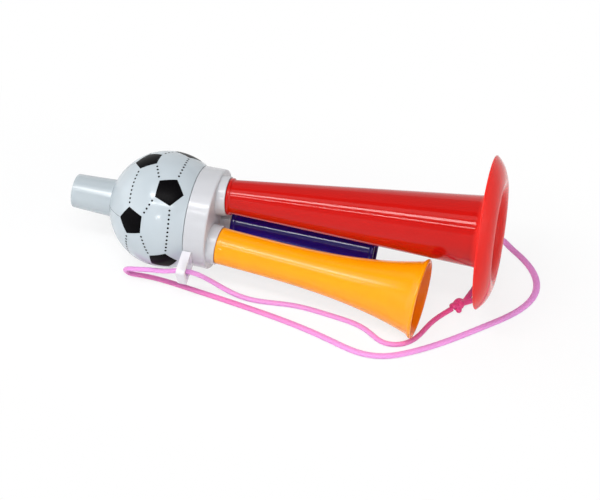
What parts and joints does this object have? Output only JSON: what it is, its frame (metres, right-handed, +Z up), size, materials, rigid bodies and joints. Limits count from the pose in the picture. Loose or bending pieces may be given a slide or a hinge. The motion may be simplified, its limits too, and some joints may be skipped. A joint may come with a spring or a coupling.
{
  "type": "stadium horn",
  "caption": "Plastic fan horn: a mouthpiece and football-shaped wind chamber feed flared horn tubes through brass reeds, with a neck lanyard.",
  "frame": {"origin": "middle of the horn's box, without the lanyard, at table height, as the horn lies on its ball and its two lower bells", "axes": "+X from the mouthpiece towards the horns' mouths, +Y to the left seen from the mouthpiece, +Z up from the table"},
  "size_m": [0.3021, 0.1272, 0.1082],
  "materials": {
    "white_plastic": "glossy moulded ABS; the ball half carries black printed pentagons and dotted seams",
    "red_plastic": "glossy blow-moulded polypropylene",
    "orange_plastic": "glossy blow-moulded polypropylene",
    "blue_plastic": "glossy blow-moulded polypropylene",
    "reed_holder_plastic": "natural moulded ABS",
    "reed_ring_plastic": "black moulded nylon",
    "reed_brass": "rolled brass strip",
    "cord_fabric": "pink braided polyester cord"
  },
  "bodies": {
    "horn": {"mouthpiece": "white_plastic", "ball_shell": "white_plastic", "rear_cap": "white_plastic", "red_horn": "red_plastic", "orange_horn": "orange_plastic", "blue_horn": "blue_plastic", "lanyard_cord": "cord_fabric", "lanyard_knot": "cord_fabric", "red_reed_holder": "reed_holder_plastic", "red_reed_ring": "reed_ring_plastic", "orange_reed_holder": "reed_holder_plastic", "orange_reed_ring": "reed_ring_plastic", "blue_reed_holder": "reed_holder_plastic", "blue_reed_ring": "reed_ring_plastic"},
    "red_tongue": {"red_reed_tongue": "reed_brass"},
    "orange_tongue": {"orange_reed_tongue": "reed_brass"},
    "blue_tongue": {"blue_reed_tongue": "reed_brass"}
  },
  "joints": [
    {"name": "red_reed_swing", "type": "hinge", "parent": "horn", "child": "red_tongue", "pos_m": [-0.05694, 0.00249, 0.05562], "axis": [0.0063, -0.9723, 0.2337], "range_deg": [-2, 4.75], "stiffness_Nm_per_rad": 0.01},
    {"name": "orange_reed_swing", "type": "hinge", "parent": "horn", "child": "orange_tongue", "pos_m": [-0.05759, -0.0205, 0.03147], "axis": [-0.0258, 0.2836, -0.9586], "range_deg": [-2, 4.75], "stiffness_Nm_per_rad": 0.01},
    {"name": "blue_reed_swing", "type": "hinge", "parent": "horn", "child": "blue_tongue", "pos_m": [-0.05779, 0.01215, 0.0235], "axis": [0.0195, 0.6886, 0.7248], "range_deg": [-2, 4.75], "stiffness_Nm_per_rad": 0.01}
  ]
}
